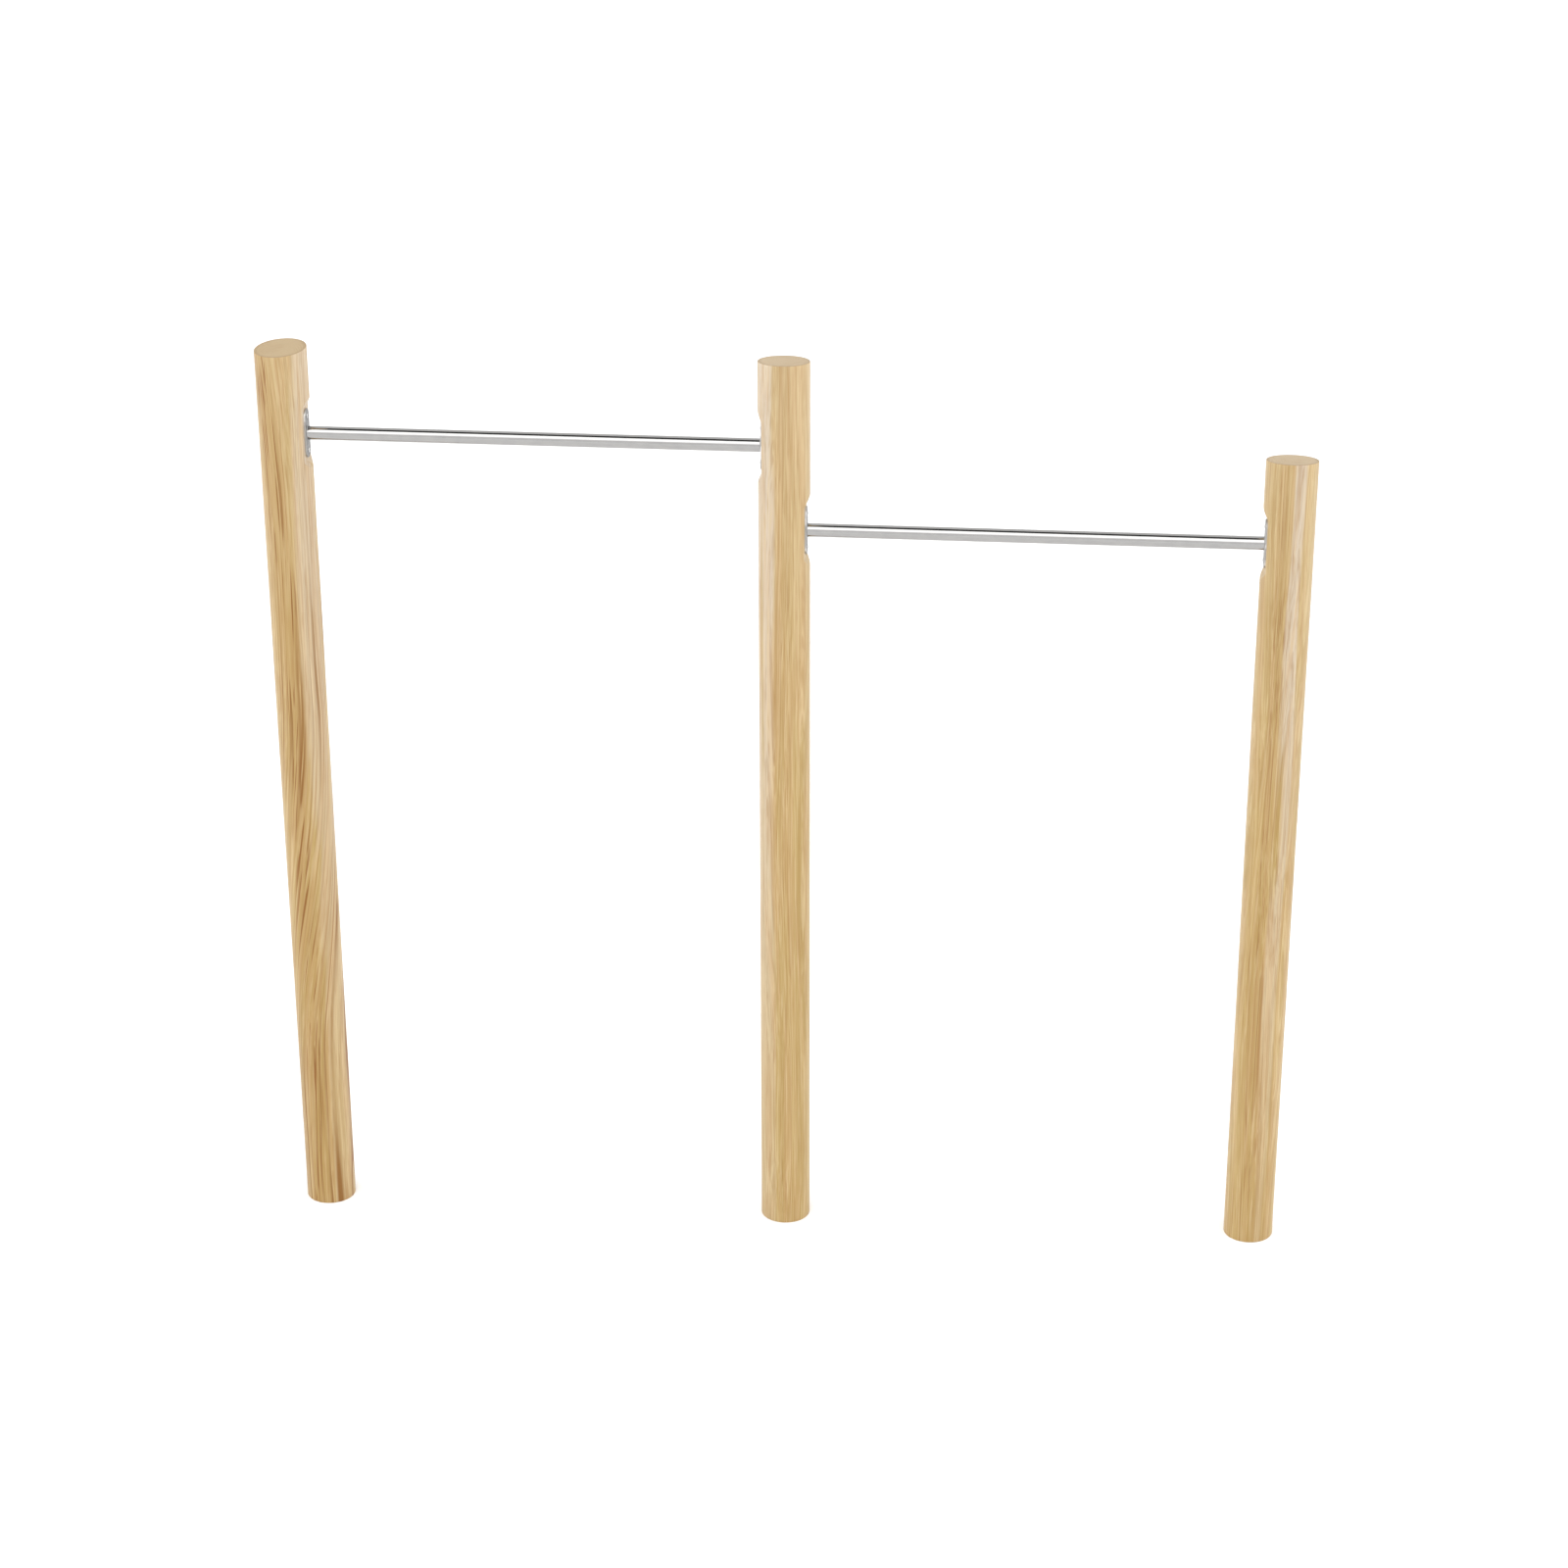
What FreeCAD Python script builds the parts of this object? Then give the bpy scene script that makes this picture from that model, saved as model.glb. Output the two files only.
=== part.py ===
import FreeCAD, Part
import math
import os
import Sketcher

# A two-height horizontal bar set: three round wooden posts carry two steel tubes.
# Millimetres, +Z up, +X along the bars. The origin is on the ground, at the middle post's centre.

SIZES = {
    # posts
    "post_diameter": 120.0,
    "post_spacing": 1150.0,        # from post axis to post axis
    "tall_post_height": 2200.0,    # left and middle posts
    "short_post_height": 2000.0,   # right post
    "end_bevel": 1.5,
    # how far a post's top falls from its high side to its low side; a post's height is at its axis
    "left_top_fall": 13.5,
    "middle_top_fall": 9.0,
    "right_top_fall": 13.5,
    # bars
    "bar_drop": 200.0,             # from a bay's lower post top down to its bar's axis
    "tube_diameter": 32.0,
    "tube_wall": 2.5,
    "weld_leg": 1.5,
    # notches milled into the posts
    "notch_depth": 11.0,
    "notch_floor": 120.0,          # the flat part
    "notch_length": 174.0,         # with both ramps
    "ramp_radius": 13.0,
    # end plates
    "plate_width": 40.0,
    "plate_length": 116.0,
    "plate_thickness": 4.0,
    "plate_edge": 1.0,
    "plate_hole": 6.6,
    # screws
    "screw_spacing": 82.0,
    "screw_diameter": 6.0,
    "screw_length": 60.0,
    "screw_point": 8.0,
    "head_diameter": 12.0,
    "head_height": 2.6,
    "head_rim": 0.8,
    "socket_width": 4.0,
    "socket_depth": 1.6,
    "pilot_diameter": 6.2,
    "pilot_depth": 58.0,
}

FLOOR_X = "(Sizes.post_diameter / 2 - Sizes.notch_depth)"
FACE_X = f"({FLOOR_X} + Sizes.plate_thickness)"
UPPER_BAR_Z = "(Sizes.tall_post_height - Sizes.bar_drop)"
LOWER_BAR_Z = "(Sizes.short_post_height - Sizes.bar_drop)"

# A post's name, its place in post spacings, its height, how far its sloping top falls, and the
# bearing of the low side in degrees from +X towards +Y.
POSTS = [
    ("post_left", -1, "Sizes.tall_post_height", "Sizes.left_top_fall", -119),
    ("post_middle", 0, "Sizes.tall_post_height", "Sizes.middle_top_fall", 90),
    ("post_right", 1, "Sizes.short_post_height", "Sizes.right_top_fall", 90),
]

# A joint between a bar and a post: its name, the post, the height of the bar's axis, and the side
# of the post that it is on (1 looks towards +X, -1 towards -X).
JOINTS = [
    ("upper_left", "post_left", UPPER_BAR_Z, 1),
    ("upper_right", "post_middle", UPPER_BAR_Z, -1),
    ("lower_left", "post_middle", LOWER_BAR_Z, 1),
    ("lower_right", "post_right", LOWER_BAR_Z, -1),
]

UP = FreeCAD.Vector(0, 0, 1)

# Sketcher's names for the ends of an edge, and for a sketch's origin and two axes.
START, END, CENTRE = 1, 2, 3
ORIGIN = (-1, START)
ACROSS, UPRIGHT = -1, -2

doc = FreeCAD.newDocument("HorizontalBars")
sheet = doc.addObject("Spreadsheet::Sheet", "Sizes")


def fill_sheet():
    for row, (alias, value) in enumerate(SIZES.items(), start=1):
        sheet.set(f"A{row}", alias)
        sheet.set(f"B{row}", str(value))
        sheet.setAlias(f"B{row}", alias)
    doc.recompute()


def value_of(expression):
    return float(sheet.evalExpression(expression))


def make_body(name):
    body = doc.addObject("PartDesign::Body", name)
    body.Label = name
    return body


def place(body, x, height="0", facing=1):
    """Puts a body drawn at the origin at x and height, turned to look towards +X or -X."""
    turn = FreeCAD.Rotation(UP, 0 if facing > 0 else 180)
    body.Placement = FreeCAD.Placement(FreeCAD.Vector(), turn)
    body.setExpression("Placement.Base.x", x)
    body.setExpression("Placement.Base.z", height)


def post_x(post_name):
    step = next(step for name, step, *_ in POSTS if name == post_name)
    return f"{step} * Sizes.post_spacing"


def make_sketch(body, name, plane, facing=1, lift="0", offset="0", bearing=0):
    """A sketch on one of the body's upright or level origin planes. It is turned to look towards
    +X or -X, or on to a bearing, lifted along its own vertical and moved off the plane by offset."""
    sketch = body.newObject("Sketcher::SketchObject", f"{body.Name}_{name}")
    support = next(f for f in body.Origin.OriginFeatures if f.Role == f"{plane}_Plane")
    sketch.AttachmentSupport = [(support, "")]
    sketch.MapMode = "FlatFace"
    turn = FreeCAD.Rotation(FreeCAD.Vector(0, 1, 0), bearing if facing > 0 else bearing + 180)
    sketch.AttachmentOffset = FreeCAD.Placement(FreeCAD.Vector(), turn)
    sketch.setExpression("AttachmentOffset.Base.y", lift)
    sketch.setExpression("AttachmentOffset.Base.z", f"{facing} * {offset}")
    return sketch


def add_line(sketch, x1, y1, x2, y2):
    line = Part.LineSegment(FreeCAD.Vector(x1, y1, 0), FreeCAD.Vector(x2, y2, 0))
    return sketch.addGeometry(line, False)


def add_arc(sketch, x, y, radius, first_angle, last_angle):
    circle = Part.Circle(FreeCAD.Vector(x, y, 0), UP, radius)
    return sketch.addGeometry(Part.ArcOfCircle(circle, first_angle, last_angle), False)


def add_circle(sketch, diameter, height="0"):
    """A circle at a height on the sketch's vertical axis."""
    centre = FreeCAD.Vector(0, value_of(height), 0)
    circle = sketch.addGeometry(Part.Circle(centre, UP, value_of(diameter) / 2), False)
    if height == "0":
        relate(sketch, "Coincident", circle, CENTRE, *ORIGIN)
    else:
        relate(sketch, "PointOnObject", circle, CENTRE, UPRIGHT)
        bind(sketch, height, "DistanceY", *ORIGIN, circle, CENTRE)
    bind(sketch, diameter, "Diameter", circle)


def relate(sketch, *constraint):
    return sketch.addConstraint(Sketcher.Constraint(*constraint))


def bind(sketch, expression, *constraint):
    """Adds a dimension to the sketch and binds it to the sheet."""
    index = relate(sketch, *constraint, value_of(expression))
    name = f"size_{index}"
    sketch.renameConstraint(index, name)
    sketch.setExpression(f"Constraints.{name}", expression)


def close_loop(sketch, edges):
    """Joins each line's end to the next line's start."""
    for edge, following in zip(edges, edges[1:] + edges[:1]):
        relate(sketch, "Coincident", edge, END, following, START)


def add_feature(body, kind, name, sketch):
    feature = body.newObject(f"PartDesign::{kind}", f"{body.Name}_{name}")
    feature.Profile = sketch
    return feature


def add_pad(body, sketch, length):
    pad = add_feature(body, "Pad", "pad", sketch)
    pad.setExpression("Length", length)
    doc.recompute()


def add_pocket(body, sketch, name, length, symmetric=False):
    """Cuts the sketch out of the body, and makes sure that it cuts."""
    volume = body.Shape.Volume
    pocket = add_feature(body, "Pocket", name, sketch)
    pocket.SideType = "Symmetric" if symmetric else "One side"
    pocket.setExpression("Length", length)
    doc.recompute()
    if body.Shape.Volume > volume - 1:
        raise RuntimeError(f"{pocket.Name} cuts nothing")


def add_turn(body, sketch):
    """Turns the sketch about its own horizontal axis."""
    turn = add_feature(body, "Revolution", "turn", sketch)
    turn.ReferenceAxis = (sketch, ["H_Axis"])
    turn.Angle = 360
    doc.recompute()


def dress(body, kind, size, wanted):
    """A chamfer or fillet on the edges of the body's last feature that are wanted."""
    base = body.Tip
    edges = [f"Edge{i}" for i, edge in enumerate(base.Shape.Edges, start=1) if wanted(edge)]
    dressing = body.newObject(f"PartDesign::{kind}", f"{body.Name}_{kind.lower()}")
    dressing.Base = (base, edges)
    dressing.setExpression("Size" if kind == "Chamfer" else "Radius", size)
    doc.recompute()


def draw_notch(sketch):
    """A notch seen from the side, with the bar's axis at height 0: a flat floor between two
    S-shaped ramps, each two equal arcs with a straight run, which leave the floor and meet the
    post's surface tangentially. Outside the post it is closed by a rectangle."""
    radius = value_of("Sizes.ramp_radius")
    floor_x = value_of(FLOOR_X)
    surface_x = value_of("Sizes.post_diameter / 2")
    outside_x = surface_x + radius
    floor_end = value_of("Sizes.notch_floor / 2")
    notch_end = value_of("Sizes.notch_length / 2")
    rise = notch_end - floor_end
    spread = 2 * radius - (surface_x - floor_x)
    slope = math.asin(2 * radius / math.hypot(rise, spread)) - math.atan2(spread, rise)
    bend_x = radius * (1 - math.cos(slope))
    bend_y = radius * math.sin(slope)

    floor = add_line(sketch, floor_x, -floor_end, floor_x, floor_end)
    outside = add_line(sketch, outside_x, -notch_end, outside_x, notch_end)
    relate(sketch, "Vertical", floor)
    relate(sketch, "Vertical", outside)
    bind(sketch, FLOOR_X, "DistanceX", *ORIGIN, floor, START)
    bind(sketch, "Sizes.post_diameter / 2 + Sizes.ramp_radius",
         "DistanceX", *ORIGIN, outside, START)

    for side in (1, -1):
        # An arc runs anticlockwise, so below the bar its two ends change places.
        near, far = (START, END) if side > 0 else (END, START)
        foot_angles = sorted([math.pi, math.pi - side * slope])
        crest_angles = sorted([0, -side * slope])
        foot = add_arc(sketch, floor_x + radius, side * floor_end, radius, *foot_angles)
        crest = add_arc(sketch, surface_x - radius, side * notch_end, radius, *crest_angles)
        ramp = add_line(sketch, floor_x + bend_x, side * (floor_end + bend_y),
                        surface_x - bend_x, side * (notch_end - bend_y))
        lip = add_line(sketch, surface_x, side * notch_end, outside_x, side * notch_end)
        relate(sketch, "Tangent", floor, far, foot, far)
        relate(sketch, "Tangent", foot, near, ramp, START)
        relate(sketch, "Tangent", ramp, END, crest, near)
        relate(sketch, "Coincident", crest, far, lip, START)
        relate(sketch, "Coincident", lip, END, outside, far)
        relate(sketch, "Horizontal", lip)
        relate(sketch, "PointOnObject", crest, CENTRE, lip)
        bind(sketch, "Sizes.ramp_radius", "Radius", foot)
        bind(sketch, "Sizes.ramp_radius", "Radius", crest)
        bind(sketch, "Sizes.post_diameter / 2", "DistanceX", *ORIGIN, lip, START)
        bind(sketch, f"{side} * Sizes.notch_floor / 2", "DistanceY", *ORIGIN, floor, far)
        bind(sketch, f"{side} * Sizes.notch_length / 2", "DistanceY", *ORIGIN, lip, START)


def draw_top_cut(sketch, height, fall):
    """What is above a post's sloping top, seen from the side with the low side on the right. It
    reaches a whole diameter out from the axis each way, and one above the post's height."""
    reach = value_of("Sizes.post_diameter")
    axis_z = value_of(height)
    drop = value_of(fall)
    slope = add_line(sketch, -reach, axis_z + drop, reach, axis_z - drop)
    right = add_line(sketch, reach, axis_z - drop, reach, axis_z + reach)
    above = add_line(sketch, reach, axis_z + reach, -reach, axis_z + reach)
    left = add_line(sketch, -reach, axis_z + reach, -reach, axis_z + drop)
    close_loop(sketch, [slope, right, above, left])
    relate(sketch, "Vertical", right)
    relate(sketch, "Vertical", left)
    relate(sketch, "Horizontal", above)
    bind(sketch, "Sizes.post_diameter", "DistanceX", *ORIGIN, right, START)
    bind(sketch, "Sizes.post_diameter", "DistanceX", left, START, *ORIGIN)
    bind(sketch, f"{height} + {fall}", "DistanceY", *ORIGIN, slope, START)
    bind(sketch, f"{height} - {fall}", "DistanceY", *ORIGIN, slope, END)
    bind(sketch, f"{height} + Sizes.post_diameter", "DistanceY", *ORIGIN, above, START)


def make_post(name, height, fall, bearing):
    """A turned round post with bevelled ends and a sloping top, and a notch with two pilot holes at
    each joint."""
    body = make_body(name)
    section = make_sketch(body, "section", "XY")
    add_circle(section, "Sizes.post_diameter")
    add_pad(body, section, f"{height} + {fall}")
    top = make_sketch(body, "top_outline", "XZ", bearing=bearing)
    draw_top_cut(top, height, fall)
    add_pocket(body, top, "top_cut", "2 * Sizes.post_diameter", symmetric=True)
    dress(body, "Chamfer", "Sizes.end_bevel", lambda edge: len(edge.Vertexes) == 1)

    for joint, post, bar_z, facing in JOINTS:
        if post != name:
            continue
        outline = make_sketch(body, f"{joint}_outline", "XZ", facing, lift=bar_z)
        draw_notch(outline)
        add_pocket(body, outline, f"{joint}_notch", "2 * Sizes.post_diameter", symmetric=True)
        holes = make_sketch(body, f"{joint}_holes", "YZ", facing, lift=bar_z, offset=FLOOR_X)
        add_circle(holes, "Sizes.pilot_diameter", "Sizes.screw_spacing / 2")
        add_circle(holes, "Sizes.pilot_diameter", "-Sizes.screw_spacing / 2")
        add_pocket(body, holes, f"{joint}_pilots", "Sizes.pilot_depth")
    place(body, post_x(name))


def make_bar(name, first_post, bar_z):
    """A tube that spans the gap between two end plates."""
    body = make_body(name)
    section = make_sketch(body, "section", "YZ")
    add_circle(section, "Sizes.tube_diameter")
    add_circle(section, "Sizes.tube_diameter - 2 * Sizes.tube_wall")
    add_pad(body, section, f"Sizes.post_spacing - 2 * {FACE_X}")
    place(body, f"{post_x(first_post)} + {FACE_X}", bar_z)


def make_plate(joint, post, bar_z, facing):
    """An upright plate with round ends and two clearance holes. Its back is on the notch's floor."""
    body = make_body(f"plate_{joint}")
    outline = make_sketch(body, "outline", "YZ")
    half_width = value_of("Sizes.plate_width / 2")
    half_run = value_of("(Sizes.plate_length - Sizes.plate_width) / 2")
    right = add_line(outline, half_width, -half_run, half_width, half_run)
    left = add_line(outline, -half_width, half_run, -half_width, -half_run)
    top = add_arc(outline, 0, half_run, half_width, 0, math.pi)
    bottom = add_arc(outline, 0, -half_run, half_width, math.pi, 2 * math.pi)
    relate(outline, "Vertical", right)
    relate(outline, "Vertical", left)
    relate(outline, "Tangent", right, END, top, START)
    relate(outline, "Tangent", top, END, left, START)
    relate(outline, "Tangent", left, END, bottom, START)
    relate(outline, "Tangent", bottom, END, right, START)
    relate(outline, "Symmetric", top, CENTRE, bottom, CENTRE, *ORIGIN)
    bind(outline, "Sizes.plate_width / 2", "Radius", top)
    bind(outline, "(Sizes.plate_length - Sizes.plate_width) / 2",
         "DistanceY", *ORIGIN, top, CENTRE)
    add_circle(outline, "Sizes.plate_hole", "Sizes.screw_spacing / 2")
    add_circle(outline, "Sizes.plate_hole", "-Sizes.screw_spacing / 2")
    add_pad(body, outline, "Sizes.plate_thickness")

    thickness = value_of("Sizes.plate_thickness")

    def is_outer_rim(edge):
        on_face = all(abs(vertex.X - thickness) < 0.01 for vertex in edge.Vertexes)
        return on_face and len(edge.Vertexes) == 2

    dress(body, "Fillet", "Sizes.plate_edge", is_outer_rim)
    place(body, f"{post_x(post)} + {facing} * {FLOOR_X}", bar_z, facing)


def make_weld(joint, post, bar_z, facing):
    """The fillet weld round the tube, a slightly hollow triangle turned about the bar's axis."""
    body = make_body(f"weld_{joint}")
    profile = make_sketch(body, "profile", "XZ")
    leg = value_of("Sizes.weld_leg")
    tube = value_of("Sizes.tube_diameter / 2")
    # The hollow face is an arc whose centre is out on the diagonal.
    reach = 2 * leg
    radius = math.hypot(reach - leg, reach)
    first_angle = math.atan2(leg - reach, -reach)
    last_angle = math.atan2(-reach, leg - reach)
    on_plate = add_line(profile, 0, tube + leg, 0, tube)
    on_tube = add_line(profile, 0, tube, leg, tube)
    face = add_arc(profile, reach, tube + reach, radius, first_angle, last_angle)
    relate(profile, "Coincident", on_plate, END, on_tube, START)
    relate(profile, "Coincident", on_tube, END, face, END)
    relate(profile, "Coincident", face, START, on_plate, START)
    relate(profile, "Vertical", on_plate)
    relate(profile, "Horizontal", on_tube)
    relate(profile, "PointOnObject", on_plate, START, UPRIGHT)
    bind(profile, "Sizes.tube_diameter / 2", "DistanceY", *ORIGIN, on_tube, START)
    bind(profile, "Sizes.weld_leg", "DistanceX", on_tube, START, on_tube, END)
    bind(profile, "Sizes.weld_leg", "DistanceY", on_plate, END, on_plate, START)
    bind(profile, "Sizes.weld_leg * sqrt(5)", "Radius", face)
    add_turn(body, profile)
    place(body, f"{post_x(post)} + {facing} * {FACE_X}", bar_z, facing)


def draw_screw(sketch):
    """Half of a screw's section. The underside of its head is at 0 and its point is towards -X."""
    head = value_of("Sizes.head_diameter / 2")
    rim = value_of("Sizes.head_rim")
    crown = value_of("Sizes.head_height")
    shank = value_of("Sizes.screw_diameter / 2")
    tip = -value_of("Sizes.screw_length")
    cone = tip + value_of("Sizes.screw_point")
    swell = crown - rim
    dome = (head**2 + swell**2) / (2 * swell)
    corners = [(crown, 0), (tip, 0), (cone, shank), (0, shank), (0, head), (rim, head)]
    lines = [add_line(sketch, *a, *b) for a, b in zip(corners, corners[1:])]
    axis, point, side, underside, edge = lines
    top = add_arc(sketch, crown - dome, 0, dome, 0, math.asin(head / dome))
    for line, following in zip(lines, lines[1:]):
        relate(sketch, "Coincident", line, END, following, START)
    relate(sketch, "Coincident", edge, END, top, END)
    relate(sketch, "Coincident", top, START, axis, START)
    relate(sketch, "PointOnObject", top, CENTRE, ACROSS)
    relate(sketch, "PointOnObject", axis, START, ACROSS)
    relate(sketch, "PointOnObject", axis, END, ACROSS)
    relate(sketch, "PointOnObject", underside, START, UPRIGHT)
    relate(sketch, "Vertical", underside)
    relate(sketch, "Horizontal", side)
    relate(sketch, "Horizontal", edge)
    bind(sketch, "Sizes.head_height", "DistanceX", *ORIGIN, axis, START)
    bind(sketch, "Sizes.screw_length", "DistanceX", axis, END, *ORIGIN)
    bind(sketch, "Sizes.screw_point", "DistanceX", point, START, point, END)
    bind(sketch, "Sizes.screw_diameter / 2", "DistanceY", *ORIGIN, underside, START)
    bind(sketch, "Sizes.head_diameter / 2", "DistanceY", *ORIGIN, underside, END)
    bind(sketch, "Sizes.head_rim", "DistanceX", edge, START, edge, END)


def draw_socket(sketch):
    """A regular hexagon, held by its six corners on a circle."""
    radius = value_of("Sizes.socket_width / sqrt(3)")
    angles = [math.radians(60 * k) for k in range(6)]
    corners = [(radius * math.cos(a), radius * math.sin(a)) for a in angles]
    lines = [add_line(sketch, *a, *b) for a, b in zip(corners, corners[1:] + corners[:1])]
    close_loop(sketch, lines)
    circle = sketch.addGeometry(Part.Circle(FreeCAD.Vector(), UP, radius), True)
    relate(sketch, "Coincident", circle, CENTRE, *ORIGIN)
    bind(sketch, "Sizes.socket_width / sqrt(3)", "Radius", circle)
    for line in lines:
        relate(sketch, "PointOnObject", line, START, circle)
    for line in lines[1:]:
        relate(sketch, "Equal", lines[0], line)
    relate(sketch, "PointOnObject", lines[0], START, ACROSS)


def make_screw(name, post, height, facing):
    """A round-headed wood screw with a hexagon socket. The thread is drawn as a plain shank."""
    body = make_body(name)
    section = make_sketch(body, "section", "XZ")
    draw_screw(section)
    add_turn(body, section)
    socket = make_sketch(body, "socket_outline", "YZ", offset="Sizes.head_height")
    draw_socket(socket)
    add_pocket(body, socket, "socket", "Sizes.socket_depth")
    place(body, f"{post_x(post)} + {facing} * {FACE_X}", height, facing)


def write_parts():
    """Refuses any failed object or broken shape, then writes one STEP file for each body."""
    failed = [item.Name for item in doc.Objects if {"Invalid", "Error"} & set(item.State)]
    if failed:
        raise RuntimeError(f"failed objects: {failed}")
    loose = [item.Name for item in doc.Objects
             if item.isDerivedFrom("Sketcher::SketchObject") and not item.FullyConstrained]
    if loose:
        raise RuntimeError(f"sketches that aren't fully constrained: {loose}")
    bodies = [item for item in doc.Objects if item.isDerivedFrom("PartDesign::Body")]
    for body in bodies:
        if body.Shape.isNull() or not body.Shape.isValid() or len(body.Shape.Solids) != 1:
            raise RuntimeError(f"{body.Label} isn't one valid solid")
    os.makedirs("parts", exist_ok=True)
    for body in bodies:
        body.Shape.exportStep(f"parts/{body.Label}.step")
        print(f"{body.Label}: {body.Shape.Volume / 1000:.1f} cm3")


fill_sheet()
for post_name, _, *post_shape in POSTS:
    make_post(post_name, *post_shape)
make_bar("upper_bar", "post_left", UPPER_BAR_Z)
make_bar("lower_bar", "post_middle", LOWER_BAR_Z)
for joint in JOINTS:
    make_plate(*joint)
    make_weld(*joint)
    joint_name, joint_post, joint_z, joint_facing = joint
    for end, sign in (("top", "+"), ("bottom", "-")):
        screw_z = f"{joint_z} {sign} Sizes.screw_spacing / 2"
        make_screw(f"screw_{joint_name}_{end}", joint_post, screw_z, joint_facing)
doc.recompute()
write_parts()
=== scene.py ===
"""A two-height horizontal bar set: turned wooden posts, polished steel tubes and their end plates."""

import math

import bmesh
import bpy
import numpy as np
from mathutils import Euler, Matrix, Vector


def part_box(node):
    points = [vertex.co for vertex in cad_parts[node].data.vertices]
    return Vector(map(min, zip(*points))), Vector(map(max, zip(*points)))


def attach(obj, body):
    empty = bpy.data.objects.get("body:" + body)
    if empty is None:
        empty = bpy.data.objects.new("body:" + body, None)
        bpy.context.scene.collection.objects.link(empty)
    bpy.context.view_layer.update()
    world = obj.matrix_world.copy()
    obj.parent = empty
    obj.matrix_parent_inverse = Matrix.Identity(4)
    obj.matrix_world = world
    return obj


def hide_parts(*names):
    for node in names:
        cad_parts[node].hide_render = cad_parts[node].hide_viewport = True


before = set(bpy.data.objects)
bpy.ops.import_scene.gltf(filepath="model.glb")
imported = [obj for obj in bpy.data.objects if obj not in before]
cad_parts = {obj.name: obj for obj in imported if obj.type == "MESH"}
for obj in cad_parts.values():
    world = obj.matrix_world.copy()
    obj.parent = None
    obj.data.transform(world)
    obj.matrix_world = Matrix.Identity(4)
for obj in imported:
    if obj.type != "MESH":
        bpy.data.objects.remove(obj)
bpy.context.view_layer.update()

# Sizes in metres, as the CAD parts have them. What a node's box can tell is read from the box.
END_ROUND = 0.0015
NOTCH_FLOOR = 0.120
NOTCH_LENGTH = 0.174
RAMP_RADIUS = 0.013
TUBE_WALL = 0.0025
SCREW_SPACING = 0.082
PILOT_DIAMETER = 0.0062
PILOT_DEPTH = 0.058

# A post's name and its joints: which joint, and the side of the post that it is on.
POSTS = {
    "post_left": [("upper_left", 1)],
    "post_middle": [("upper_right", -1), ("lower_left", 1)],
    "post_right": [("lower_right", -1)],
}
# A post's height at its axis, how far its sloping top falls, and the bearing of the low side.
TOPS = {
    "post_left": (2.2, 0.0135, math.radians(-119)),
    "post_middle": (2.2, 0.009, math.radians(90)),
    "post_right": (2.0, 0.0135, math.radians(90)),
}
# A top's slope fades out over this distance below it.
TOP_REACH = 0.1
BARS = ["upper_bar", "lower_bar"]

# How closely a post's surface is divided, round it and along it, away from its notches and in them.
COARSE_ARC, FINE_ARC = 0.0024, 0.0012
COARSE_STEP, FINE_STEP = 0.012, 0.0014
NOTCH_REACH = math.radians(44)
NOTCH_MARGIN = 0.004
END_ROUND_ROWS = 4
# A notch is looked for only within 60 degrees of its side: the cosine of that angle.
NOTCH_SIDE = 0.5
# How far the edges between a notch and the round are eased.
EDGE_EASE = 0.0011
# How deep the two waves are that turning and sanding leave in a post's surface.
BROAD_WAVE, FINE_WAVE = 0.00010, 0.00006

TUBE_SEGMENTS = 160
TUBE_STEPS = 100
BORE_SEGMENTS = 32
SHARP_ANGLE = math.radians(40)


# ---------------------------------------------------------------- meshes

def new_piece(name, mesh, slot, *nodes):
    """A finished mesh as a piece that stands for these CAD nodes."""
    piece = bpy.data.objects.new(name, mesh)
    bpy.context.scene.collection.objects.link(piece)
    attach(piece, "root")
    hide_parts(*nodes)
    return piece


def grid_faces(rows, columns):
    """Quads between rows of points, each row a closed loop."""
    row, column = np.meshgrid(np.arange(rows - 1), np.arange(columns), indexing="ij")
    following = (column + 1) % columns
    corners = [row * columns + column, row * columns + following,
               (row + 1) * columns + following, (row + 1) * columns + column]
    return np.stack(corners, axis=-1).reshape(-1, 4).tolist()


def mesh_from(name, points, faces):
    """A mesh of these points and faces, with its quads shaded smooth."""
    mesh = bpy.data.meshes.new(name)
    mesh.from_pydata(points.tolist(), [], faces)
    mesh.polygons.foreach_set("use_smooth", [len(face) == 4 for face in faces])
    mesh.update()
    return mesh


def divided(start, end, step):
    """Even steps from start up to but not including end."""
    count = max(1, round((end - start) / step))
    return np.linspace(start, end, count, endpoint=False)


def spread(start, end, centres, reach, coarse, fine):
    """Steps from start to end that are fine within reach of each centre and coarse elsewhere."""
    values = []
    at = start
    for centre in sorted(centres):
        values += [divided(at, centre - reach, coarse), divided(centre - reach, centre + reach, fine)]
        at = centre + reach
    return np.concatenate(values + [divided(at, end, coarse)])


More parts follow.
